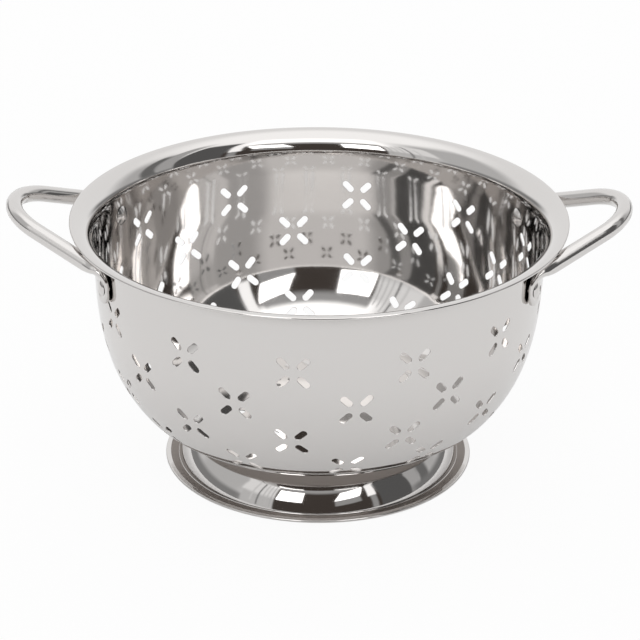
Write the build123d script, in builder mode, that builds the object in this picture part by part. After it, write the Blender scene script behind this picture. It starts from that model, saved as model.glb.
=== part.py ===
from build123d import *
from math import acos, atan2, copysign, cos, hypot, radians, sin, tan
import os

# Colander: a deep-drawn stainless steel bowl on a foot ring, with two riveted loop handles.
# Millimetres. The origin is on the table under the middle of the bowl, +Z is up and the
# handles stand out along +X and -X.

# Bowl sheet and wall. Under the rim the wall flares back towards upright, then four arcs
# turn it in to the flat base.
sheet = 0.6
wall_radius = 113.5
flare_lean = 4.1
flare_radius = 190.0
flare_turn = 3.4
upper_arc_radius = 305.0
upper_arc_turn = 3.9
middle_arc_radius = 127.0
middle_arc_turn = 12.3
lower_arc_radius = 77.8
lower_arc_turn = 21.2
corner_radius = 38.6

# Rim. The wall rolls outward until it is level and ends in a round hem.
lip_radius = 125.0
hem_radius = 0.8

# Slots, punched four at a time as a star. The marks are the hand-set stops of the turning
# bowl, in degrees from +X: every second one places the first and third rows, the others the
# second and fourth, and the two lower rows were punched a little behind the upper two.
slot_length = 7.3
slot_width = 3.5
slot_offset = 4.85
star_rows = 4
first_row_drop = 23.8
row_pitch = 20.5
index_marks = (
    -152.8, -140.4, -124.3, -111.0, -96.0, -80.6, -66.2, -55.7, -39.1, -24.4, -10.5, 3.5,
    17.6, 31.3, 46.6, 63.3, 79.5, 97.3, 114.3, 130.0, 146.1, 161.5, 177.0, 192.3,
)
lower_rows_turn = -1.0
base_star_radius = 36.0
base_stars = 6
slot_end_flat = 1.45
punch_overrun = 3.0

# Foot ring
foot_height = 23.2
foot_radius = 79.1
foot_sheet = 0.6
weld_flange_width = 7.0
neck_radius = 58.0
neck_corner_radius = 1.2
cove_radius = 9.0
cove_lean = 23.0
cove_height = 2.3
step_radius = 72.2
ledge_height = 0.9
foot_hem_width = 2.6
foot_hem_height = 1.5
foot_hem_corner = 0.5

# Handles, bent from round tube, with both ends pressed flat into tabs
tube_radius = 4.1
handle_reach = 152.4
handle_rise = 6.0
handle_bend_radius = 28.5
tab_azimuth = 24.0
tab_width = 11.4
tab_thickness = 3.2
tab_clearance = 0.3
tab_below_rivet = 8.0
knee_below_lip = 12.0
knee_radius = 8.0
press_length = 5.0
dish_radius = 4.6
dish_depth = 0.5

# Rivets
rivet_below_lip = 19.3
rivet_radius = 2.5
rivet_fit = 0.05
inner_head_radius = 5.0
inner_head_height = 2.2
inner_head_gap = 0.2
outer_head_radius = 3.9
outer_head_height = 1.3
outer_head_gap = 0.02

# Values that follow from the sizes above
side_turn = upper_arc_turn + middle_arc_turn + lower_arc_turn
wall_arcs = (
    (flare_radius, -flare_turn),
    (upper_arc_radius, upper_arc_turn),
    (middle_arc_radius, middle_arc_turn),
    (lower_arc_radius, lower_arc_turn),
    (corner_radius, 90 - flare_lean + flare_turn - side_turn),
)
wall_length = sum(arc * radians(abs(turn)) for arc, turn in wall_arcs)
rim_bend_radius = (lip_radius - hem_radius - wall_radius) / cos(radians(flare_lean))


def wall_at(drop, top=0.0):
    """Radius, height and lean from upright of the outer wall, a distance down along it."""
    radius, height, lean = wall_radius, top, radians(flare_lean)
    for arc, turn in wall_arcs:
        share = min(drop / (arc * radians(abs(turn))), 1)
        next_lean = lean + radians(turn) * share
        centre_way = copysign(arc, turn)
        radius -= centre_way * (cos(lean) - cos(next_lean))
        height -= centre_way * (sin(next_lean) - sin(lean))
        drop -= arc * abs(next_lean - lean)
        lean = next_lean
    return radius, height, lean


flat_radius, wall_drop, _ = wall_at(wall_length)
wall_top = foot_height - wall_drop
lip_top = wall_top + rim_bend_radius * (1 - sin(radians(flare_lean))) + sheet
lip_edge = lip_top - hem_radius


def round_the_axis(radius, azimuth, height):
    """A point at a radius and height, at an azimuth in degrees from +X."""
    return Vector(radius * cos(radians(azimuth)), radius * sin(radians(azimuth)), height)


def star_plane(row, mark):
    """The plane of one star on the wall, its normal square to the sheet."""
    radius, height, lean = wall_at(first_row_drop + row * row_pitch, wall_top)
    azimuth = mark + (row // 2) * lower_rows_turn
    normal = round_the_axis(cos(lean), azimuth, -sin(lean))
    along = round_the_axis(1, azimuth + 90, 0)
    return Plane(origin=round_the_axis(radius, azimuth, height), x_dir=along, z_dir=normal)


star_planes = [
    star_plane(row, mark) for row in range(star_rows) for mark in index_marks[row % 2 :: 2]
]
star_planes += [Plane(origin=(0, 0, foot_height))] + [
    Plane(origin=round_the_axis(base_star_radius, 360 * number / base_stars, foot_height))
    for number in range(base_stars)
]

rivet_height = lip_edge - rivet_below_lip
seat_radius = wall_at(wall_top - rivet_height)[0]
rivet_places = {
    "rivet_right_front": -tab_azimuth,
    "rivet_right_back": tab_azimuth,
    "rivet_left_back": 180 - tab_azimuth,
    "rivet_left_front": 180 + tab_azimuth,
}


def wall_plane(azimuth, height, stand_off=0.0):
    """An upright plane that faces out from the wall at an azimuth from +X."""
    return Plane(
        origin=round_the_axis(seat_radius + stand_off, azimuth, height),
        x_dir=round_the_axis(1, azimuth + 90, 0),
        z_dir=round_the_axis(1, azimuth, 0),
    )


# One stroke of the punch: four slots in an X, their round ends cut as three flats
slot_reach = slot_length / 2
slot_side = slot_width / 2
slot_shoulder = slot_reach - slot_side + slot_end_flat / 2
with BuildSketch() as slot:
    with BuildLine():
        Polyline(
            (slot_reach, 0),
            (slot_reach, slot_end_flat / 2),
            (slot_shoulder, slot_side),
            (0, slot_side),
        )
        mirror(about=Plane.YZ)
        mirror(about=Plane.XZ)
    make_face()
with BuildPart() as punch:
    with BuildSketch():
        with PolarLocations(hypot(slot_offset, slot_offset), 4, start_angle=45):
            add(slot.sketch)
    extrude(amount=punch_overrun, both=True)


# Bowl: one sheet from the middle of the base up the wall and round the rim into the hem
with BuildPart() as bowl:
    with BuildSketch(Plane.XZ):
        with BuildLine():
            outside = Line((0, foot_height), (flat_radius, foot_height))
            for arc, turn in reversed(wall_arcs):
                outside = JernArc(outside @ 1, outside % 1, arc, turn)
            outside = JernArc(outside @ 1, outside % 1, rim_bend_radius, flare_lean - 90)
            edge = Line(outside @ 1, (outside @ 1) + Vector(0, sheet))
            inside = JernArc(edge @ 1, (-1, 0), rim_bend_radius + sheet, 90 - flare_lean)
            for arc, turn in wall_arcs:
                inside = JernArc(inside @ 1, inside % 1, arc - copysign(sheet, turn), -turn)
            floor = Line(inside @ 1, (0, foot_height + sheet))
            Line(floor @ 1, (0, foot_height))
        make_face()
        with Locations((lip_radius - hem_radius, lip_edge)):
            Circle(hem_radius)
    revolve(axis=Axis.Z)
    with Locations(*star_planes):
        add(punch.part, mode=Mode.SUBTRACT)
    with Locations(*[wall_plane(azimuth, rivet_height) for azimuth in rivet_places.values()]):
        Cylinder(rivet_radius + rivet_fit, 2 * punch_overrun, mode=Mode.SUBTRACT)
bowl.part.label = "bowl"


# Foot ring: weld flange, neck, a crease into a concave cove, a small step down to a ledge,
# and the hem
cove_slant = radians(cove_lean)
crease_height = cove_height + cove_radius * (1 - sin(cove_slant))
with BuildPart() as foot_ring:
    with BuildSketch(Plane.XZ):
        with BuildLine():
            neck = FilletPolyline(
                (neck_radius - weld_flange_width, foot_height),
                (neck_radius, foot_height),
                (neck_radius, crease_height),
                radius=neck_corner_radius,
            )
            heading = (sin(cove_slant), -cos(cove_slant))
            cove = JernArc(neck @ 1, heading, cove_radius, 90 - cove_lean)
            Polyline(
                cove @ 1,
                (step_radius, cove_height),
                (step_radius, ledge_height),
                (foot_radius - foot_hem_width / 2, ledge_height),
            )
            offset(amount=foot_sheet, side=Side.RIGHT)
        make_face()
    with BuildSketch(Plane.XZ) as foot_hem:
        with Locations((foot_radius, 0)):
            Rectangle(foot_hem_width, foot_hem_height, align=(Align.MAX, Align.MIN))
        chamfer(foot_hem.vertices(), foot_hem_corner)
    revolve(axis=Axis.Z)
foot_ring.part.label = "foot_ring"


# Handle: the tube runs in one sloping plane round the bend, then each leg turns down at a
# knee into a tab that lies flat on the wall
tab_radius = seat_radius + tab_clearance + tab_thickness / 2
tab_line = round_the_axis(tab_radius, tab_azimuth, 0)
tab_end_height = rivet_height - tab_below_rivet
knee_height = lip_edge - knee_below_lip
slope_run = handle_reach - tab_line.X
slope_rise = handle_rise + knee_below_lip
loop_depth = hypot(slope_run, slope_rise)
bend_centre_depth = loop_depth - handle_bend_radius
leg_angle = acos(handle_bend_radius / hypot(bend_centre_depth, tab_line.Y)) - atan2(
    bend_centre_depth, tab_line.Y
)
legs_meet_share = tab_line.Y / tan(leg_angle) / loop_depth
with BuildLine() as route:
    FilletPolyline(
        Vector(tab_line.X, tab_line.Y, tab_end_height),
        Vector(tab_line.X, tab_line.Y, knee_height),
        Vector(
            tab_line.X + slope_run * legs_meet_share, 0, knee_height + slope_rise * legs_meet_share
        ),
        Vector(tab_line.X, -tab_line.Y, knee_height),
        radius=(knee_radius, handle_bend_radius),
    )
tab_run, knee, back_leg, bend = route.edges().sort_by(route.wire())[:4]
press_share = press_length / back_leg.length
pressed_sections = (
    (tab_run, 0, tab_width, tab_thickness),
    (tab_run, 1, tab_width, tab_thickness),
    (knee, 1, (tab_width + 2 * tube_radius) / 2, (tab_thickness + 2 * tube_radius) / 2),
    (back_leg, press_share, 2 * tube_radius, 2 * tube_radius),
)

with BuildPart() as right_handle:
    for run, share, width, thickness in pressed_sections:
        across = round_the_axis(1, tab_azimuth + 90, 0)
        with BuildSketch(Plane(origin=run @ share, x_dir=across, z_dir=run % share)):
            Ellipse(width / 2, thickness / 2)
    loft()
    tab_face = wall_plane(tab_azimuth, tab_end_height + tab_width / 2, tab_clearance)
    with BuildSketch(tab_face):
        Rectangle(tab_width, tab_width, align=(Align.CENTER, Align.MAX))
        Circle(tab_width / 2, mode=Mode.SUBTRACT)
    extrude(amount=tab_thickness, mode=Mode.SUBTRACT)
    with Locations(wall_plane(tab_azimuth, rivet_height, tab_clearance)):
        Cylinder(rivet_radius + rivet_fit, 2 * tab_thickness, mode=Mode.SUBTRACT)
    with Locations(wall_plane(tab_azimuth, rivet_height, tab_clearance + tab_thickness)):
        Cylinder(dish_radius, 2 * dish_depth, mode=Mode.SUBTRACT)
    mirror(about=Plane.XZ)
    with BuildLine() as tube_line:
        start = Line(back_leg @ press_share, back_leg @ 1)
        add(bend)
        Line(bend @ 1, (start @ 0).X * Vector(1, 0, 0) + Vector(0, -(start @ 0).Y, (start @ 0).Z))
    with BuildSketch(Plane(origin=start @ 0, z_dir=start % 0)):
        Circle(tube_radius)
    sweep()
right_handle.part.label = "right_handle"

with BuildPart() as left_handle:
    add(right_handle.part, rotation=(0, 0, 180))
left_handle.part.label = "left_handle"


# Rivet: a domed head inside the bowl, the shank through wall and tab, a low head in the dish
inner_seat = -sheet - inner_head_gap
outer_seat = tab_clearance + tab_thickness - dish_depth + outer_head_gap
with BuildPart() as rivet:
    with BuildSketch(Plane.XZ):
        with BuildLine():
            inner_dome = TangentArc(
                (0, inner_seat - inner_head_height), (inner_head_radius, inner_seat), tangent=(1, 0)
            )
            outer_dome = TangentArc(
                (0, outer_seat + outer_head_height), (outer_head_radius, outer_seat), tangent=(1, 0)
            )
            Polyline(
                inner_dome @ 1,
                (rivet_radius, inner_seat),
                (rivet_radius, outer_seat),
                outer_dome @ 1,
            )
            Line(inner_dome @ 0, outer_dome @ 0)
        make_face()
    revolve(axis=Axis.Z)

os.makedirs("parts", exist_ok=True)
export_step(bowl.part, "parts/bowl.step")
export_step(foot_ring.part, "parts/foot_ring.step")
export_step(right_handle.part, "parts/right_handle.step")
export_step(left_handle.part, "parts/left_handle.step")
for name, azimuth in rivet_places.items():
    with BuildPart() as placed_rivet:
        with Locations(wall_plane(azimuth, rivet_height)):
            add(rivet.part)
    placed_rivet.part.label = name
    export_step(placed_rivet.part, f"parts/{name}.step")
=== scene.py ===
from math import acos, atan2, cos, hypot, pi, radians, sin, sqrt, tan

import bpy
import numpy as np
from mathutils import Matrix, Vector
from mathutils.geometry import delaunay_2d_cdt


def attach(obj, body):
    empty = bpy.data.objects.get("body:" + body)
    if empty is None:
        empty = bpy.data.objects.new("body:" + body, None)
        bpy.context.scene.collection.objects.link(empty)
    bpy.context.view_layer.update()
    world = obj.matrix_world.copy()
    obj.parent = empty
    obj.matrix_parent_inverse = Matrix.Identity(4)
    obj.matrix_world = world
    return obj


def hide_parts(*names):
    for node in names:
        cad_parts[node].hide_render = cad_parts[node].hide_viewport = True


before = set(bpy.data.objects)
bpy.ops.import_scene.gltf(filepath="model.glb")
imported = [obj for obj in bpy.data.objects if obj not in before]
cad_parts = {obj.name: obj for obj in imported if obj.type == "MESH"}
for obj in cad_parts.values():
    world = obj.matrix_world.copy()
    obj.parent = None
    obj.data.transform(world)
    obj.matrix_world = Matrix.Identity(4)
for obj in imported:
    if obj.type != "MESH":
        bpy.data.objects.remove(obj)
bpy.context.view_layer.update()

# Camera. It looks slightly down on the colander from the front, with the long lens of a
# product photograph. Distances are in metres and its frame is 640 pixels square.
frame_pixels = 640
camera_distance = 1.2
camera_height = 0.6269
camera_elevation = radians(24.725)
camera_roll = radians(0.309)
focal_pixels = 2589.6
lens_centre_pixel = 318.7

camera = bpy.data.cameras.new("photo_camera")
camera.sensor_width = 36
camera.lens = focal_pixels / frame_pixels * camera.sensor_width
camera.shift_x = (frame_pixels / 2 - lens_centre_pixel) / frame_pixels
camera.clip_end = 20
photo_camera = bpy.data.objects.new("photo_camera", camera)
bpy.context.scene.collection.objects.link(photo_camera)
level_right = Vector((1, 0, 0))
level_up = Vector((0, sin(camera_elevation), cos(camera_elevation)))
turned_right = cos(camera_roll) * level_right + sin(camera_roll) * level_up
turned_up = cos(camera_roll) * level_up - sin(camera_roll) * level_right
photo_camera.matrix_world = (
    Matrix.Translation((0, -camera_distance, camera_height))
    @ Matrix((turned_right, turned_up, turned_right.cross(turned_up))).transposed().to_4x4()
)
bpy.context.scene.camera = photo_camera


# Bowl. One disc of thin stainless steel, drawn deep in a press, pierced by a punch that cuts
# four slots at a stroke, then rolled outward at the mouth into a hem and mirror-polished.
# Its sizes are in millimetres.
MM = 0.001
sheet = 0.6
wall_radius = 113.5
flare_lean = radians(4.1)
wall_arcs = (
    (190.0, radians(-3.4)),
    (305.0, radians(3.9)),
    (127.0, radians(12.3)),
    (77.8, radians(21.2)),
    (38.6, radians(51.9)),
)
base_height = 23.2
lip_radius = 125.0
hem_radius = 0.8
slot_length = 7.3
slot_width = 3.5
slot_offset = 4.85
slot_edge_roll = 0.15
star_rows = 4
first_row_drop = 23.8
row_pitch = 20.5
index_marks = np.radians((
    -152.8, -140.4, -124.3, -111.0, -96.0, -80.6, -66.2, -55.7, -39.1, -24.4, -10.5, 3.5,
    17.6, 31.3, 46.6, 63.3, 79.5, 97.3, 114.3, 130.0, 146.1, 161.5, 177.0, 192.3,
))
lower_rows_turn = radians(-1.0)
base_star_radius = 36.0
base_stars = 6


def wall_at(drop):
    """Radius, height below the mouth and lean of the outer skin, a length down along it. Each
    arc leans the wall by length over radius R; from lean a to lean b the radius shrinks by
    R(cos a - cos b) and the height by R(sin b - sin a), with R negative where it flares."""
    drop = np.asarray(drop, float)
    radius, height, lean = wall_radius + 0 * drop, 0 * drop, flare_lean + 0 * drop
    for arc, turn in wall_arcs:
        next_lean = lean + turn * np.clip(drop / (arc * abs(turn)), 0, 1)
        bent = np.copysign(arc, turn)
        radius = radius - bent * (np.cos(lean) - np.cos(next_lean))
        height = height - bent * (np.sin(next_lean) - np.sin(lean))
        drop, lean = drop - arc * np.abs(next_lean - lean), next_lean
    return radius, height, lean


wall_length = sum(arc * abs(turn) for arc, turn in wall_arcs)
flat_radius, wall_drop, _ = (float(value) for value in wall_at(wall_length))
wall_top = base_height - wall_drop
rim_bend_radius = (lip_radius - hem_radius - wall_radius) / cos(flare_lean)
rim_bend_height = wall_top - rim_bend_radius * sin(flare_lean)
lip_top = rim_bend_height + rim_bend_radius + sheet
lip_edge = lip_top - hem_radius


def round_the_axis(radius, azimuth, height):
    """Points at radius r, azimuth a and height h: (r cos a, r sin a, h)."""
    radius, azimuth, height = np.broadcast_arrays(radius, azimuth, height)
    return np.stack([radius * np.cos(azimuth), radius * np.sin(azimuth), height], -1)


def in_the_sheet(azimuth, drop, depth):
    """Points of the wall at a depth under its outer skin, and the skin's outward normals. The
    normal at lean a is cos a outward and sin a down, and the depth runs against it."""
    radius, height, lean = wall_at(drop)
    points = round_the_axis(
        radius - depth * np.cos(lean), azimuth, wall_top + height + depth * np.sin(lean)
    )
    return points, round_the_axis(np.cos(lean), azimuth, -np.sin(lean))


def cells(a, b, c, d):
    """Two triangles for each four-sided cell with the corners a, b, c, d in turn."""
    return np.stack([a, b, c, a, c, d], -1).reshape(-1, 3)


def closed_grid(points, normals):
    """A patch from a grid whose columns close on themselves, seen from outside with its rows
    running down and its columns to the right."""
    rows, columns = points.shape[:2]
    corner = np.arange(rows * columns).reshape(rows, columns)
    beside = np.roll(corner, -1, axis=1)
    faces = cells(corner[:-1], corner[1:], beside[1:], beside[:-1])
    return points.reshape(-1, 3), normals.reshape(-1, 3), faces


weld_digits = 4


def steel_piece(name, patches, material):
    """One mesh from patches that meet edge to edge. Points that agree to the weld digits of a
    millimetre are joined, and each face corner keeps the normal of its own patch."""
    firsts = np.cumsum([0] + [len(points) for points, _, _ in patches[:-1]])
    points = np.concatenate([patch[0] for patch in patches])
    normals = np.concatenate([patch[1] for patch in patches])
    faces = np.concatenate([patch[2] + first for patch, first in zip(patches, firsts)])
    _, kept, joined = np.unique(
        points.round(weld_digits), axis=0, return_index=True, return_inverse=True
    )
    corners = joined.ravel()[faces]
    whole = (corners != np.roll(corners, 1, axis=1)).all(axis=1)
    used, corners = np.unique(corners[whole], return_inverse=True)
    mesh = bpy.data.meshes.new(name)
    mesh.from_pydata(points[kept[used]] * MM, [], corners.reshape(-1, 3))
    mesh.shade_smooth()
    mesh.normals_split_custom_set(normals[faces[whole]].reshape(-1, 3))
    piece = bpy.data.objects.new(name, mesh)
    bpy.context.scene.collection.objects.link(piece)
    piece.data.materials.append(material)
    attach(piece, "root")
    return piece


# A slot's outline is 24 points: each quarter has four on the half-round end and two along
# the side, from the outer tip round. side_steps of them face each side of the slot's cell.
side_steps = 6
end_angles = np.linspace(0, pi / 2, side_steps - 1)
straight = slot_length / 2 - slot_width / 2
ring = np.arange(4 * side_steps)
quarter, step = ring // side_steps, ring % side_steps
step = np.where(quarter % 2, side_steps - step, step)
ring_right, ring_left = np.where(quarter % 3 == 0, 1, -1), np.where(quarter < 2, 1, -1)
end_turn = np.append(end_angles, [pi / 2, pi / 2])[step]
end_share = np.append(np.ones(side_steps - 1), [0.5, 0])[step]


def slot_outline(grow):
    """A slot's outline, moved outward by grow, as lengths along it and across it: a straight
    of length s to each side, then an end of radius r, at (s + r cos t, r sin t)."""
    end = slot_width / 2 + grow
    along = ring_right * (straight * end_share + end * np.cos(end_turn))
    return along, ring_left * end * np.sin(end_turn)


def star_slots(right, up, grow):
    """The four slots of each star: offsets to the right and up from its centre, for slots on
    the diagonals whose signs are right and up."""
    along, aside = slot_outline(grow)
    along, aside = along / sqrt(2), aside / sqrt(2)
    right, up = right[..., None], up[..., None]
    return (
        right * slot_offset + right * along - up * aside,
        up * slot_offset + up * along + right * aside,
    )


def slot_walls(right, up):
    """Directions to the right and up that point into each slot from its edge."""
    along, aside = ring_right * np.cos(end_turn) / sqrt(2), ring_left * np.sin(end_turn) / sqrt(2)
    right, up = right[..., None], up[..., None]
    return -(right * along - up * aside), -(up * along + right * aside)


def chain(rings):
    """Cells between each closed ring of point numbers and the next one, inward."""
    return np.concatenate([
        cells(outer, np.roll(outer, -1, axis=-1), np.roll(inner, -1, axis=-1), inner)
        for outer, inner in zip(rings, rings[1:])
    ])


# The wall's grid has the same count of columns between any two marks of the index, and is
# turned with the stars below the upper two rows
mark_columns = 2 * side_steps - 1
marks = np.append(index_marks, index_marks[0] + 2 * pi)
column_count = mark_columns * len(index_marks)
column_azimuth = np.interp(
    np.arange(column_count) / mark_columns, np.arange(len(marks)), marks
)

top_row_count = 9
bottom_row_count = 19
star_top = first_row_drop - row_pitch / 2
star_bottom = star_top + star_rows * row_pitch
top_rows = np.linspace(0, star_top, top_row_count, endpoint=False)
star_rows_drop = np.linspace(star_top, star_bottom, 2 * star_rows * side_steps, endpoint=False)
bottom_rows = np.linspace(star_bottom, wall_length, bottom_row_count)
row_drop = np.concatenate([top_rows, star_rows_drop, bottom_rows])


def rows_turn(drop):
    """The turn of the stars and the grid: none above the gap between the second and third
    rows, all of it below, and a smooth step between the lowest and highest slot ends there."""
    slots_reach = slot_offset + slot_length / 2
    upper_end = first_row_drop + row_pitch + slots_reach
    free_band = row_pitch - 2 * slots_reach
    share = np.clip((drop - upper_end) / free_band, 0, 1)
    return lower_rows_turn * share * share * (3 - 2 * share)


# One entry for each slot of the wall, with its star's grid place and its diagonal's signs
star_row, star_number, slot_right, slot_up = (
    values.ravel()
    for values in np.meshgrid(
        np.arange(star_rows), np.arange(len(index_marks) // 2), [-1, 1], [-1, 1], indexing="ij"
    )
)
centre_column = mark_columns * (2 * star_number + star_row % 2)
centre_row = len(top_rows) + side_steps * (2 * star_row + 1)


def cell_ring(right, up):
    """Grid steps from the middle of a slot's cell to its edge, once round from the outer
    corner: the corner turned a quarter at a time, with even steps between."""
    turns = [(right, up), (-up, right), (-right, -up), (up, -right), (right, up)]
    across = np.stack([turn[0] for turn in turns], -1)
    upward = np.stack([turn[1] for turn in turns], -1)
    share = (ring % side_steps) / side_steps
    half = side_steps / 2
    return tuple(
        np.rint(half * (corner[:, quarter] * (1 - share) + corner[:, quarter + 1] * share))
        .astype(int)
        for corner in (across, upward)
    )


edge_across, edge_up = cell_ring(slot_right, slot_up)
half_cell = side_steps // 2
edge_column = centre_column[:, None] + half_cell * slot_right[:, None] + edge_across
edge_row = centre_row[:, None] - half_cell * slot_up[:, None] - edge_up

grid_azimuth, grid_drop = np.meshgrid(column_azimuth, row_drop)
grid_azimuth = grid_azimuth + rows_turn(grid_drop)
outer_points, outer_normals = in_the_sheet(grid_azimuth, grid_drop, 0)
inner_points, _ = in_the_sheet(grid_azimuth, grid_drop, sheet)

slot_row_drop = first_row_drop + row_pitch * star_row


def punched(grow, depth):
    """Azimuth and drop of each slot's outline, and its points and skin normals."""
    aside, above = star_slots(slot_right, slot_up, grow)
    drop = slot_row_drop[:, None] - above
    centre_azimuth = grid_azimuth[centre_row, centre_column]
    azimuth = centre_azimuth[:, None] + aside / wall_at(drop)[0]
    return azimuth, drop, *in_the_sheet(azimuth, drop, depth)


edge_azimuth, edge_drop, lip_points, lip_normals = punched(slot_edge_roll, 0)
edge_column = edge_column % column_count
cell_azimuth = np.unwrap(np.stack([edge_azimuth, grid_azimuth[edge_row, edge_column]]), axis=0)[1]
between_azimuth = (edge_azimuth + cell_azimuth) / 2
between_drop = (edge_drop + row_drop[edge_row]) / 2
into_right, into_up = slot_walls(slot_right, slot_up)


def wall_side(depth):
    """The slots' cut walls at a depth, with normals that point across each slot."""
    azimuth, drop, points, _ = punched(0, depth)
    lean = wall_at(drop)[2]
    aside = round_the_axis(1, azimuth + pi / 2, 0)
    above = round_the_axis(np.sin(lean), azimuth, np.cos(lean))
    return points, into_right[..., None] * aside + into_up[..., None] * above


skins = [
    in_the_sheet(between_azimuth, between_drop, 0),
    (lip_points, lip_normals),
    wall_side(slot_edge_roll),
    wall_side(sheet - slot_edge_roll),
    (punched(slot_edge_roll, sheet)[2], -lip_normals),
]
points, normals = in_the_sheet(between_azimuth, between_drop, sheet)
skins.append((points, -normals))

grid_count = grid_azimuth.size
grid_number = np.arange(grid_count).reshape(grid_azimuth.shape)
ring_number = 2 * grid_count + np.arange(len(skins) * edge_column.size).reshape(
    len(skins), *edge_column.shape
)
edge_number = grid_number[edge_row, edge_column]
slot_faces = chain([edge_number, *ring_number, edge_number + grid_count])

in_a_star = np.zeros(grid_number.shape, bool)
for step_down in range(-side_steps, side_steps):
    for step_across in range(-side_steps, side_steps):
        star_column = (centre_column + step_across) % column_count
        in_a_star[centre_row + step_down, star_column] = True
plain = ~in_a_star[:-1]
corner, beside = grid_number, np.roll(grid_number, -1, axis=1)
around = [part[plain] for part in (corner[:-1], corner[1:], beside[1:], beside[:-1])]
plain_faces = np.concatenate([cells(*around), cells(*around)[:, ::-1] + grid_count])

wall_patch = (
    np.concatenate(
        [outer_points.reshape(-1, 3), inner_points.reshape(-1, 3)]
        + [points.reshape(-1, 3) for points, _ in skins]
    ),
    np.concatenate(
        [outer_normals.reshape(-1, 3), -outer_normals.reshape(-1, 3)]
        + [normals.reshape(-1, 3) for _, normals in skins]
    ),
    np.concatenate([slot_faces, plain_faces]),
)

# The flat base has its own ring of stars, set square to the handles
star_azimuth = 2 * pi * np.arange(base_stars) / base_stars
star_centres = np.append(round_the_axis(base_star_radius, star_azimuth, 0)[:, :2], [[0, 0]], 0)
base_right, base_up = (values.ravel() for values in np.meshgrid([-1, 1], [-1, 1]))


def base_slots(grow):
    """Outlines of all the base's slots, one row of points for each."""
    aside, above = star_slots(base_right, base_up, grow)
    plan = np.stack([aside, above], -1)
    return (star_centres[:, None, None] + plan).reshape(-1, len(ring), 2)


base_edge = round_the_axis(flat_radius, column_azimuth + lower_rows_turn, 0)[:, :2]
base_lips = base_slots(slot_edge_roll)
base_plan = np.concatenate([base_edge, base_lips.reshape(-1, 2)])
loops = [list(range(len(base_edge)))] + (
    len(base_edge) + np.arange(base_lips.shape[0] * len(ring)).reshape(-1, len(ring))
).tolist()
triangles_inside = 1
plan_tolerance = 1e-6
_, _, triangles, point_origin, _, face_origin = delaunay_2d_cdt(
    [Vector(spot) for spot in base_plan], [], loops, triangles_inside, plan_tolerance
)
source = np.array([origin[0] for origin in point_origin])
base_faces = source[np.array([
    triangle for triangle, origin in zip(triangles, face_origin) if origin == [0]
])]
base_into = np.stack(slot_walls(base_right, base_up), -1)
base_into = np.tile(base_into, (len(star_centres), 1, 1))


def base_level(plan, height, normal):
    """Plan points lifted to a height, all with one normal or each with its own."""
    points = np.concatenate([plan, np.full((*plan.shape[:-1], 1), height)], -1).reshape(-1, 3)
    return points, np.broadcast_to(normal, points.shape)


flat_into = np.concatenate([base_into, np.zeros((*base_into.shape[:-1], 1))], -1).reshape(-1, 3)
base_cuts = base_slots(0)
base_top = base_height + sheet
levels = [
    base_level(base_lips, base_top, (0, 0, 1)),
    base_level(base_cuts, base_top - slot_edge_roll, flat_into),
    base_level(base_cuts, base_height + slot_edge_roll, flat_into),
    base_level(base_lips, base_height, (0, 0, -1)),
]
level_number = np.arange(len(levels) * base_cuts[..., 0].size).reshape(
    len(levels), -1, len(ring)
)
base_slot_patch = (
    np.concatenate([points for points, _ in levels]),
    np.concatenate([normals for _, normals in levels]),
    chain(list(level_number)),
)
base_patches = [
    (*base_level(base_plan, base_top, (0, 0, 1)), base_faces),
    (*base_level(base_plan, base_height, (0, 0, -1)), base_faces[:, ::-1]),
    base_slot_patch,
]


def turned(radius, height, out, up, azimuth):
    """A surface of revolution from a profile, with profile normals (out, up). The profile
    runs outward over the top of the piece, then down its outside."""
    azimuth = azimuth[None, :]
    points = round_the_axis(radius[:, None], azimuth, height[:, None])
    return closed_grid(points, round_the_axis(out[:, None], azimuth, up[:, None]))


def arc_profile(centre, radius, start, end, steps, hollow=1):
    """A profile arc from one angle to another, at (centre + r cos t, centre + r sin t). Its
    normals point from the centre, or to it where hollow is -1."""
    angle = np.linspace(start, end, steps + 1)
    out, up = np.cos(angle), np.sin(angle)
    return centre[0] + radius * out, centre[1] + radius * up, hollow * out, hollow * up


bend_centre = (lip_radius - hem_radius, rim_bend_height)
hem_centre = (lip_radius - hem_radius, lip_edge)
# The underside meets the hem's circle where both circles have the same height
centre_gap = lip_edge - rim_bend_height
meet_height = (rim_bend_radius**2 + centre_gap**2 - hem_radius**2) / (2 * centre_gap)
meet_inward = sqrt(rim_bend_radius**2 - meet_height**2)
meet_angle = atan2(meet_height, -meet_inward)
hem_end = atan2(meet_height - centre_gap, -meet_inward) - 2 * pi
wall_angle = pi - flare_lean
inner_bend_radius = rim_bend_radius + sheet
rim_steps = 24
hem_steps = 20
under_rim_steps = 16
rim_profiles = [
    arc_profile(bend_centre, inner_bend_radius, wall_angle, pi / 2, rim_steps),
    arc_profile(hem_centre, hem_radius, pi / 2, hem_end, hem_steps),
    arc_profile(
        bend_centre, rim_bend_radius, meet_angle, wall_angle, under_rim_steps, hollow=-1
    ),
]
rim_patches = [turned(*profile, column_azimuth) for profile in rim_profiles]


steel_colour = (0.72, 0.70, 0.685, 1)
clouds_per_metre = 45
cloud_detail = 4
haze_swing = 0.3
ripples_per_metre = 190
ripple_detail = 2
ripple_height = 0.007
bowl_haze = 0.06


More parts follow.
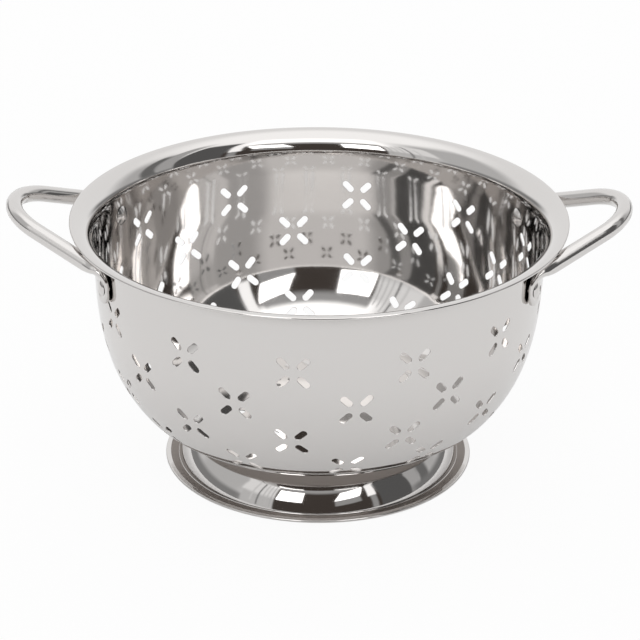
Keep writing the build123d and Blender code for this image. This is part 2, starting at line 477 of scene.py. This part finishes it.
def polished_steel(name, haze):
    """Mirror-polished stainless steel: a metal with a faint haze that swings with soft clouds
    over the piece, and very fine ripples left by the polishing wheel."""
    material = bpy.data.materials.new(name)
    material.use_nodes = True
    nodes, links = material.node_tree.nodes, material.node_tree.links
    shader = nodes["Principled BSDF"]
    shader.inputs["Base Color"].default_value = steel_colour
    shader.inputs["Metallic"].default_value = 1
    coordinates = nodes.new("ShaderNodeTexCoord")
    cloud = nodes.new("ShaderNodeTexNoise")
    cloud.inputs["Scale"].default_value = clouds_per_metre
    cloud.inputs["Detail"].default_value = cloud_detail
    spread = nodes.new("ShaderNodeMapRange")
    spread.inputs["To Min"].default_value = haze * (1 - haze_swing)
    spread.inputs["To Max"].default_value = haze * (1 + haze_swing)
    links.new(coordinates.outputs["Object"], cloud.inputs["Vector"])
    links.new(cloud.outputs["Fac"], spread.inputs["Value"])
    links.new(spread.outputs["Result"], shader.inputs["Roughness"])
    ripple = nodes.new("ShaderNodeTexNoise")
    ripple.inputs["Scale"].default_value = ripples_per_metre
    ripple.inputs["Detail"].default_value = ripple_detail
    bump = nodes.new("ShaderNodeBump")
    bump.inputs["Strength"].default_value = 1
    bump.inputs["Distance"].default_value = ripple_height * MM
    links.new(coordinates.outputs["Object"], ripple.inputs["Vector"])
    links.new(ripple.outputs["Fac"], bump.inputs["Height"])
    links.new(bump.outputs["Normal"], shader.inputs["Normal"])
    return material


bowl_steel = polished_steel("bowl_steel", bowl_haze)
bowl = steel_piece("polished_bowl", [wall_patch, *base_patches, *rim_patches], bowl_steel)
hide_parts("bowl")


# Foot ring. A second pressing of the same sheet, spot-welded under the base: a short upright
# neck, then a polished skirt that swells out and falls ever more steeply to a narrow ledge,
# with its edge folded under into a hem. Neck and ledge are left rougher by the polishing
# wheel, and their colour is painted dark brown as shade under the bowl's overhang.
foot_radius = 79.1
weld_flange_radius = 51.0
neck_radius = 65.6
neck_corner_radius = 1.2
skirt_top_height = 13.9
skirt_top_lean = radians(53)
skirt_foot_lean = radians(75.5)
skirt_foot_radius = 72.2
skirt_swell = 30.0
ledge_height = 0.9
foot_hem_width = 2.6
foot_hem_height = 1.5
foot_hem_round = 0.65
crease_round = 0.6
step_round = 0.6
groove_round = 0.15
least_round = 0.05
foot_bend_steps = 10
foot_column_count = 240
foot_haze = 0.05
# The neck and ledge bands: rougher steel, with a dark brown base colour that is painted shade
# under the bowl's overhang
shaded_dull_start = 50.0
neck_shine_edge = neck_radius + 0.35
ledge_shaded_dull_start = skirt_foot_radius + 0.2
ledge_shaded_dull_end = foot_radius - foot_hem_width
shaded_dull_fade = 0.2
painted_shade_colour = (0.27, 0.24, 0.22, 1)
dull_roughness = 0.34


def rounded_path(corners, radii, steps):
    """A path through corners, each rounded to its radius, with the normals on its left. An
    arc of radius r that turns by t starts r tan(t/2) before its corner."""
    corners = np.array(corners, float)
    runs = np.diff(corners, axis=0)
    runs /= np.linalg.norm(runs, axis=1)[:, None]
    points, normals = [corners[0]], [(-runs[0, 1], runs[0, 0])]
    for corner, before, after, radius in zip(corners[1:-1], runs, runs[1:], radii):
        turn = atan2(before[0] * after[1] - before[1] * after[0], before @ after)
        side = 1 if turn > 0 else -1
        left = np.array((-before[1], before[0]))
        centre = corner - before * radius * tan(abs(turn) / 2) + side * left * radius
        heading = atan2(before[1], before[0]) + np.linspace(0, turn, steps + 1)
        lefts = np.stack([-np.sin(heading), np.cos(heading)], -1)
        points.extend(centre - side * radius * lefts)
        normals.extend(lefts)
    points.append(corners[-1])
    normals.append((-runs[-1, 1], runs[-1, 0]))
    return np.array(points), np.array(normals)


def other_side(corners, thickness):
    """The corners of a bent sheet's other side, on the right of the path: each corner moves
    by (m + n) t / (1 + m.n), where m and n are the right-hand normals beside it."""
    runs = np.diff(corners, axis=0)
    runs /= np.linalg.norm(runs, axis=1)[:, None]
    rights = np.stack([runs[:, 1], -runs[:, 0]], -1)
    before, after = np.vstack([rights[:1], rights]), np.vstack([rights, rights[-1:]])
    scale = thickness / (1 + (before * after).sum(-1, keepdims=True))
    return corners + (before + after) * scale


# The skirt's two straight ends meet at its swell, where their lines cross
skirt_fall = skirt_top_height - ledge_height
skirt_reach = skirt_foot_radius - neck_radius
swell_drop = (
    (skirt_reach - skirt_fall / tan(skirt_foot_lean))
    / (1 / tan(skirt_top_lean) - 1 / tan(skirt_foot_lean))
)
foot_line = np.array([
    (weld_flange_radius, base_height),
    (neck_radius, base_height),
    (neck_radius, skirt_top_height),
    (neck_radius + swell_drop / tan(skirt_top_lean), skirt_top_height - swell_drop),
    (skirt_foot_radius, ledge_height),
    (foot_radius - foot_hem_width, ledge_height),
])
hem_line = [
    (foot_radius - foot_hem_width, foot_hem_height),
    (foot_radius, foot_hem_height),
    (foot_radius, 0),
    (foot_radius - foot_hem_width, 0),
]
line_radii = np.array([neck_corner_radius, crease_round, skirt_swell, step_round])
bends_out = np.array([-1, 1, -1, 1])
foot_path = np.vstack([
    foot_line, hem_line, other_side(foot_line, sheet)[::-1], [(weld_flange_radius, base_height)]
])
foot_radii = [
    *line_radii, groove_round, groove_round, foot_hem_round, foot_hem_round, groove_round,
    groove_round / 2, *(line_radii + sheet * bends_out).clip(least_round)[::-1], 0,
]
foot_points, foot_normals = rounded_path(foot_path, foot_radii, foot_bend_steps)
foot_profile = (*foot_points.T, *foot_normals.T)
foot_columns = 2 * pi * np.arange(foot_column_count) / foot_column_count

foot_steel = polished_steel("foot_steel", foot_haze)
foot_nodes, foot_links = foot_steel.node_tree.nodes, foot_steel.node_tree.links

# Numbers of a Mix node's sockets: its share, then two values and their mix, and two colours
# and their mix
mix_share, value_under, value_over, value_mixed = 0, 2, 3, 0
colour_under, colour_over, colour_mixed = 6, 7, 2


def band(value, start, end, soft):
    """1 between two radii and 0 outside them, with a smooth step over each edge."""
    edges = []
    for edge_radius, low, high in ((start, 0, 1), (end, 1, 0)):
        edge = foot_nodes.new("ShaderNodeMapRange")
        edge.interpolation_type = "SMOOTHSTEP"
        foot_links.new(value, edge.inputs["Value"])
        edge.inputs["From Min"].default_value = (edge_radius - soft) * MM
        edge.inputs["From Max"].default_value = (edge_radius + soft) * MM
        edge.inputs["To Min"].default_value = low
        edge.inputs["To Max"].default_value = high
        edges.append(edge.outputs["Result"])
    both = foot_nodes.new("ShaderNodeMath")
    both.operation = "MULTIPLY"
    foot_links.new(edges[0], both.inputs[0])
    foot_links.new(edges[1], both.inputs[1])
    return both.outputs[0]


# Distance from the foot's axis, from Object coordinates laid flat
foot_shader = foot_nodes["Principled BSDF"]
foot_coordinates = foot_nodes.new("ShaderNodeTexCoord")
flat = foot_nodes.new("ShaderNodeVectorMath")
flat.operation = "MULTIPLY"
flat.inputs[1].default_value = (1, 1, 0)
foot_links.new(foot_coordinates.outputs["Object"], flat.inputs[0])
span = foot_nodes.new("ShaderNodeVectorMath")
span.operation = "LENGTH"
foot_links.new(flat.outputs[0], span.inputs[0])
axis_distance = span.outputs["Value"]
# Mask of the neck and ledge bands, which get both the rougher finish and the painted shade colour
shaded_and_dull = foot_nodes.new("ShaderNodeMath")
shaded_and_dull.operation = "ADD"
foot_links.new(band(axis_distance, shaded_dull_start, neck_shine_edge, shaded_dull_fade), shaded_and_dull.inputs[0])
foot_links.new(band(axis_distance, ledge_shaded_dull_start, ledge_shaded_dull_end, shaded_dull_fade), shaded_and_dull.inputs[1])
# Painted shade: the steel's colour is darkened to brown on those bands
painted_shade_tint = foot_nodes.new("ShaderNodeMix")
painted_shade_tint.data_type = "RGBA"
painted_shade_tint.inputs[colour_under].default_value = steel_colour
painted_shade_tint.inputs[colour_over].default_value = painted_shade_colour
foot_links.new(shaded_and_dull.outputs[0], painted_shade_tint.inputs[mix_share])
foot_links.new(painted_shade_tint.outputs[colour_mixed], foot_shader.inputs["Base Color"])
haze_source = foot_shader.inputs["Roughness"].links[0].from_socket
rough = foot_nodes.new("ShaderNodeMix")
rough.inputs[value_over].default_value = dull_roughness
foot_links.new(haze_source, rough.inputs[value_under])
foot_links.new(shaded_and_dull.outputs[0], rough.inputs[mix_share])
foot_links.new(rough.outputs[value_mixed], foot_shader.inputs["Roughness"])

foot = steel_piece("polished_foot_ring", [turned(*foot_profile, foot_columns)], foot_steel)
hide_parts("foot_ring")


# Handles. Each is one length of round stainless tube, bent to a loop, with both ends pressed
# flat into tabs that lie on the wall, dished round the rivet holes.
tube_radius = 4.1
handle_reach = 152.4
handle_rise = 6.0
handle_bend_radius = 28.5
tab_azimuth = radians(24)
tab_width = 11.4
tab_thickness = 3.2
tab_clearance = 0.3
tab_below_rivet = 8.0
knee_below_lip = 12.0
knee_radius = 8.0
tab_squareness = 3.2
tab_edge_round = 1.2
press_length = 14.0
press_lead = 4.0
dish_radius = 4.6
dish_depth = 0.5
dish_lip = 1.0
dish_slope = 1.6
rivet_below_lip = 19.3
rivet_height = lip_edge - rivet_below_lip
seat_radius = float(wall_at(wall_top - rivet_height)[0])

tab_radius = seat_radius + tab_clearance + tab_thickness / 2
tab_x, tab_y = tab_radius * cos(tab_azimuth), tab_radius * sin(tab_azimuth)
tab_end_height = rivet_height - tab_below_rivet
knee_height = lip_edge - knee_below_lip
slope = atan2(handle_rise + knee_below_lip, handle_reach - tab_x)
loop_depth = hypot(handle_rise + knee_below_lip, handle_reach - tab_x)
bend_centre_depth = loop_depth - handle_bend_radius
leg_angle = acos(handle_bend_radius / hypot(bend_centre_depth, tab_y)) - atan2(
    bend_centre_depth, tab_y
)
tab_tip_run, tab_tip_steps = 3.0, 12
tab_steps, knee_steps, leg_steps, tip_steps = 20, 14, 22, 25
tube_columns = 48
never_zero = 1e-12
handle_haze = 0.12


def loop_place(depth, side):
    """A point of the loop's sloping plane: depth out from the knees' line, side along Y."""
    depth, side = np.broadcast_arrays(depth, side)
    return np.stack([tab_x + depth * cos(slope), side, knee_height + depth * sin(slope)], -1)


def tube_route():
    """Half of the tube's middle line, from the tab's end to the loop's tip, and its headings:
    straight up the tab, an arc at the knee, straight along the leg, an arc to the tip."""
    leg = loop_place(cos(leg_angle), -sin(leg_angle)) - loop_place(0, 0)
    up = np.array([0, 0, 1.0])
    turn = acos(leg[2])
    knee = np.array([tab_x, tab_y, knee_height])
    tangent = knee_radius * tan(turn / 2)
    toward = (leg - leg[2] * up) / sin(turn)
    lengths = np.concatenate([
        np.linspace(0, 1, tab_tip_steps, endpoint=False) ** 2 * tab_tip_run,
        np.linspace(
            tab_tip_run, knee_height - tangent - tab_end_height, tab_steps, endpoint=False
        ),
    ])
    tab = np.array([tab_x, tab_y, tab_end_height]) + lengths[:, None] * up
    tab_heading = np.tile(up, (len(lengths), 1))
    angle = np.linspace(0, turn, knee_steps, endpoint=False)[:, None]
    knee_arc = (
        knee - tangent * up + knee_radius * (np.sin(angle) * up + (1 - np.cos(angle)) * toward)
    )
    knee_heading = np.cos(angle) * up + np.sin(angle) * toward
    bend_start = loop_place(
        bend_centre_depth + handle_bend_radius * sin(leg_angle),
        handle_bend_radius * cos(leg_angle),
    )
    leg_start = knee + tangent * leg
    share = np.linspace(0, 1, leg_steps, endpoint=False)[:, None]
    leg_run = leg_start + share * (bend_start - leg_start)
    leg_heading = np.tile(leg, (len(share), 1))
    swing = np.linspace(pi / 2 - leg_angle, 0, tip_steps)
    bend = loop_place(
        bend_centre_depth + handle_bend_radius * np.cos(swing), handle_bend_radius * np.sin(swing)
    )
    bend_heading = loop_place(np.sin(swing), -np.cos(swing)) - loop_place(0, 0)
    points = np.concatenate([tab, knee_arc, leg_run, bend])
    headings = np.concatenate([tab_heading, knee_heading, leg_heading, bend_heading])
    return points, headings


def loop_handle(side):
    """The tube's surface: superellipses square to its route. The tab's section is wide and
    flat, and grows round over the press length; its end closes in a half circle."""
    route, heading = tube_route()
    run = np.concatenate([[0], np.cumsum(np.linalg.norm(np.diff(route, axis=0), axis=1))])
    knee_run = knee_height - tab_end_height
    share = np.clip((run - knee_run + press_lead) / press_length, 0, 1)
    share = share * share * (3 - 2 * share)
    wide = tab_width + (2 * tube_radius - tab_width) * share
    thick = tab_thickness + (2 * tube_radius - tab_thickness) * share
    power = 2 / (tab_squareness - (tab_squareness - 2) * share)
    end = np.clip(run / (tab_width / 2), 0, 1)
    wide = wide * np.sqrt(1 - (1 - end) ** 2)
    edge = np.clip(run / tab_edge_round, 0, 1)
    thick = thick * np.sqrt(1 - (1 - edge) ** 2)
    mirror = np.array([1, -1, 1])
    route = np.concatenate([route, route[-2::-1] * mirror])
    heading = np.concatenate([heading, -heading[-2::-1] * mirror])
    across = np.tile(round_the_axis(1.0, tab_azimuth + pi / 2, 0.0), (len(wide), 1))
    across = np.concatenate([across, across[-2::-1] * mirror])
    wide, thick, power, run = (
        np.concatenate([values, values[-2::-1]]) for values in (wide, thick, power, run)
    )
    across = across - (across * heading).sum(-1, keepdims=True) * heading
    across /= np.linalg.norm(across, axis=-1, keepdims=True)
    outward = np.cross(across, heading)
    angle = 2 * pi * np.arange(tube_columns) / tube_columns
    lean, rise = np.cos(angle)[None, :], np.sin(angle)[None, :]
    lean = np.sign(lean) * np.abs(lean) ** power[:, None]
    rise = np.sign(rise) * np.abs(rise) ** power[:, None]
    aside, proud = wide[:, None] / 2 * lean, thick[:, None] / 2 * rise
    away = np.hypot(run[:, None] - tab_below_rivet, aside)
    dish = np.clip((dish_radius + dish_lip - away) / dish_slope, 0, 1)
    proud = proud - np.where(proud > 0, dish_depth * dish * dish * (3 - 2 * dish), 0)
    points = (
        route[:, None] + aside[..., None] * across[:, None] + proud[..., None] * outward[:, None]
    )
    down = np.gradient(points, axis=0)
    right = np.roll(points, -1, axis=1) - np.roll(points, 1, axis=1)
    normals = np.cross(down, right)
    normals[0], normals[-1] = -heading[0], heading[-1]
    normals /= np.linalg.norm(normals, axis=-1, keepdims=True) + never_zero
    turn = np.array([side, side, 1])
    return closed_grid(points * turn, normals * turn)


handle_steel = polished_steel("handle_steel", handle_haze)
for name, side in (("right_handle", 1), ("left_handle", -1)):
    handle = steel_piece("looped_" + name, [loop_handle(side)], handle_steel)
    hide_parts(name)


# Rivets. Solid steel, with a domed head inside the bowl and a low head set in each tab's
# dish, one at each end of each handle.
rivet_radius = 2.5
inner_head_radius = 5.0
inner_head_height = 2.2
inner_head_gap = 0.2
outer_head_radius = 3.9
outer_head_height = 1.3
outer_head_gap = 0.02
dome_steps = 12
rivet_columns = 48
rivet_haze = 0.12
rivet_places = {
    "rivet_right_front": -tab_azimuth,
    "rivet_right_back": tab_azimuth,
    "rivet_left_back": pi - tab_azimuth,
    "rivet_left_front": pi + tab_azimuth,
}


def dome(radius, height, seat):
    """A head's profile from its crown to its edge: a circle through both, of radius
    (r r + h h) / 2h."""
    ball = (radius**2 + height**2) / (2 * height)
    half = acos((ball - height) / ball) if height < ball else pi / 2
    return arc_profile((0, seat + height - ball), ball, pi / 2, pi / 2 - half, dome_steps)


inner_seat = sheet + inner_head_gap
outer_seat = tab_clearance + tab_thickness - dish_depth + outer_head_gap


def straight_profile(radii, heights, out, up):
    """A straight profile between two radii and two heights, all with the normal (out, up)."""
    return np.array(radii), np.array(heights), np.full(2, float(out)), np.full(2, float(up))


def rivet_patches(azimuth):
    """Both heads and the shank, turned about the rivet's own axis."""
    turn = 2 * pi * np.arange(rivet_columns) / rivet_columns
    head_radius, head_height, out, up = dome(inner_head_radius, inner_head_height, inner_seat)
    parts = [
        dome(outer_head_radius, outer_head_height, outer_seat),
        straight_profile([outer_head_radius, rivet_radius], [outer_seat, outer_seat], 0, -1),
        straight_profile([rivet_radius, rivet_radius], [outer_seat, -inner_seat], 1, 0),
        straight_profile([rivet_radius, inner_head_radius], [-inner_seat, -inner_seat], 0, 1),
        (head_radius[::-1], -head_height[::-1], out[::-1], -up[::-1]),
    ]
    base = round_the_axis(seat_radius, azimuth, rivet_height)
    axis = round_the_axis(1.0, azimuth, 0.0)
    aside = round_the_axis(1.0, azimuth + pi / 2, 0.0)
    lay = np.stack([aside, np.array([0, 0, 1.0]), axis])
    patches = []
    for part in parts:
        points, normals, faces = turned(*part, turn)
        patches.append((base + points @ lay, normals @ lay, faces))
    return patches


rivet_steel = polished_steel("rivet_steel", rivet_haze)
for name, azimuth in rivet_places.items():
    rivet = steel_piece("headed_" + name, rivet_patches(azimuth), rivet_steel)
    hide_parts(name)


# Floor. A sheet of matt white paper that reaches past the colander on every side. It glows a
# little for the camera and in the steel, so that it comes out white and keeps its shadow.
floor_reach = 3.0
paper_white = (0.9, 0.9, 0.9, 1)
glow_to_camera = 0.94
glow_in_steel = 0.25
floor_corners = [(-1, -1), (1, -1), (1, 1), (-1, 1)]
floor_mesh = bpy.data.meshes.new("floor")
floor_mesh.from_pydata(
    [(floor_reach * x, floor_reach * y, 0) for x, y in floor_corners], [], [(0, 1, 2, 3)]
)
floor = bpy.data.objects.new("floor", floor_mesh)
bpy.context.scene.collection.objects.link(floor)
floor_material = bpy.data.materials.new("white_paper")
floor_material.use_nodes = True
floor_nodes, floor_links = floor_material.node_tree.nodes, floor_material.node_tree.links
paper = floor_nodes["Principled BSDF"]
paper.inputs["Base Color"].default_value = paper_white
paper.inputs["Roughness"].default_value = 1
paper.inputs["Specular IOR Level"].default_value = 0
glow = floor_nodes.new("ShaderNodeEmission")
glow.inputs["Strength"].default_value = 1
ray = floor_nodes.new("ShaderNodeLightPath")
seen = floor_nodes.new("ShaderNodeMath")
seen.operation = "MULTIPLY"
seen.inputs[1].default_value = glow_to_camera
floor_links.new(ray.outputs["Is Camera Ray"], seen.inputs[0])
glow_share = floor_nodes.new("ShaderNodeMath")
glow_share.operation = "MULTIPLY_ADD"
glow_share.inputs[1].default_value = glow_in_steel
floor_links.new(ray.outputs["Is Glossy Ray"], glow_share.inputs[0])
floor_links.new(seen.outputs[0], glow_share.inputs[2])
blend = floor_nodes.new("ShaderNodeMixShader")
floor_links.new(glow_share.outputs[0], blend.inputs[0])
floor_links.new(paper.outputs[0], blend.inputs[1])
floor_links.new(glow.outputs[0], blend.inputs[2])
floor_links.new(blend.outputs[0], floor_nodes["Material Output"].inputs["Surface"])
floor.data.materials.append(floor_material)


# Studio. Pale walls and ceiling, with a dim room, two softboxes and pale screens on the
# camera's side. All are panels painted on the world, placed in degrees of azimuth, which is
# 0 toward the camera and positive to its right, and of elevation.
world = bpy.data.worlds.new("studio")
bpy.context.scene.world = world
world.use_nodes = True
studio_nodes, studio_links = world.node_tree.nodes, world.node_tree.links
backdrop = studio_nodes["Background"]
degree = 180 / pi


def value_node(operation, *inputs):
    """A Math node of the world, fed by numbers or by other nodes' outputs."""
    node = studio_nodes.new("ShaderNodeMath")
    node.operation = operation
    for socket, value in zip(node.inputs, inputs):
        if hasattr(value, "links"):
            studio_links.new(value, socket)
        else:
            socket.default_value = value
    return node.outputs[0]


def fade(value, middle, width):
    """0 well before the middle, 1 well after it, and a smooth step of that width between."""
    node = studio_nodes.new("ShaderNodeMapRange")
    node.interpolation_type = "SMOOTHSTEP"
    studio_links.new(value, node.inputs["Value"])
    node.inputs["From Min"].default_value = middle - width / 2
    node.inputs["From Max"].default_value = middle + width / 2
    return node.outputs["Result"]


def painted(under, share, colour):
    """The colour laid over what is under it, by its share."""
    node = studio_nodes.new("ShaderNodeMix")
    node.data_type = "RGBA"
    node.clamp_factor = True
    below, above = node.inputs[colour_under], node.inputs[colour_over]
    if hasattr(under, "links"):
        studio_links.new(under, below)
    else:
        below.default_value = (*under, 1)
    above.default_value = (*colour, 1)
    studio_links.new(share, node.inputs[mix_share])
    return node.outputs[colour_mixed]


direction = studio_nodes.new("ShaderNodeTexCoord").outputs["Generated"]
split = studio_nodes.new("ShaderNodeSeparateXYZ")
studio_links.new(direction, split.inputs[0])
to_camera = value_node("MULTIPLY", split.outputs["Y"], -1.0)
elevation = value_node("MULTIPLY", value_node("ARCSINE", split.outputs["Z"]), degree)
azimuth = value_node("MULTIPLY", value_node("ARCTAN2", split.outputs["X"], to_camera), degree)


def panel(under, left, right, bottom, top, lean, slope, soft, colour):
    """A panel between two azimuths and two elevations, true at its middle. Its sides move by
    lean degrees of azimuth for each degree up, and its ends by slope degrees for each along."""
    across = value_node(
        "SUBTRACT", azimuth,
        value_node("MULTIPLY", value_node("SUBTRACT", elevation, (bottom + top) / 2), lean),
    )
    upward = value_node(
        "SUBTRACT", elevation,
        value_node("MULTIPLY", value_node("SUBTRACT", azimuth, (left + right) / 2), slope),
    )
    share = value_node("SUBTRACT", fade(across, left, soft[0]), fade(across, right, soft[0]))
    rise = value_node("SUBTRACT", fade(upward, bottom, soft[1]), fade(upward, top, soft[1]))
    return painted(under, value_node("MULTIPLY", share, rise), colour)


def grey(level):
    """A colour without tint."""
    return (level, level, level)


dim_room = (0.062, 0.052, 0.046)
far_wall = grey(0.92)
ceiling = grey(1.22)
front_light = grey(1.6)
softbox_light = grey(3.2)
white = grey(1.0)
ceiling_elevation = 55
ceiling_fade = 30

# Each panel's left, right, bottom and top, its lean and slope, the widths of its soft edges at
# the sides and at the ends, and its colour; a later panel hides what is under it
studio_panels = {
    "left_wall": (-118, -60, -10, 58, 0.1, 0, (24, 14), grey(0.56)),
    "right_wall": (98, 126, -10, 46, 0, 0, (24, 20), grey(0.52)),
    "right_wall_edge": (80, 96, -10, 62, 0.35, 0, (3, 10), grey(0.45)),
    "right_dark_strip": (94, 106, -10, 50, 0.3, 0, (5, 8), grey(0.17)),
    "left_horizon": (-145, -60, -10, 11, 0, 0, (20, 8), grey(0.26)),
    "right_horizon": (80, 150, -10, 9, 0, 0, (20, 8), grey(0.22)),
    "left_screen": (-66, -36, 21, 48, 0, 0, (3, 3), grey(0.9)),
    "left_low": (-64, -36, -10, 21, 0, 0, (3, 8), grey(0.6)),
    "front_light": (-42, 50, 40, 67, 0, 0, (16, 7), front_light),
    "right_dark": (51, 82, -10, 58, 0.1, 0, (2, 6), grey(0.11)),
    "camera_room": (-36, 52, -10, 44, 0, 0, (2, 8), dim_room),
    "room_top": (-36, 40, 38, 46, 0, 0, (3, 6), grey(0.4)),
    "left_softbox": (-34, -12.5, 19.5, 38, 0.05, 0.03, (1.2, 1.2), softbox_light),
    "right_low": (14, 36, 15, 26, 0, 0.2, (2, 2), grey(0.35)),
    "right_softbox": (18, 38, 25.5, 38.5, 0.45, 0.2, (1.2, 1.2), softbox_light),
    "right_screen": (43.5, 51, 22, 48, 0.12, 0, (1.5, 3), grey(1.3)),
    "right_screen_foot": (44, 49, -10, 22, 0, 0, (2, 3), grey(0.35)),
    "screen_edge": (-50.3, -48.8, 2, 47, 0, 0, (0.8, 3), grey(0.25)),
    "screen_fold_1": (-46, -45, 4, 47, 0, 0, (1, 3), grey(0.6)),
    "screen_fold_2": (-42.5, -41.5, 4, 44, 0, 0, (1, 3), grey(0.62)),
    "screen_fold_3": (-39, -38, 4, 43, 0, 0, (1, 3), grey(0.55)),
    "screen_fold_4": (-56, -54.5, 6, 40, 0, 0, (1.5, 3), grey(0.7)),
}
sky = painted(far_wall, fade(elevation, ceiling_elevation, ceiling_fade), ceiling)
for panel_values in studio_panels.values():
    sky = panel(sky, *panel_values)

seen_by = studio_nodes.new("ShaderNodeLightPath")
sky = painted(sky, seen_by.outputs["Is Camera Ray"], white)
studio_links.new(sky, backdrop.inputs["Color"])

bpy.context.scene.view_settings.view_transform = "Standard"
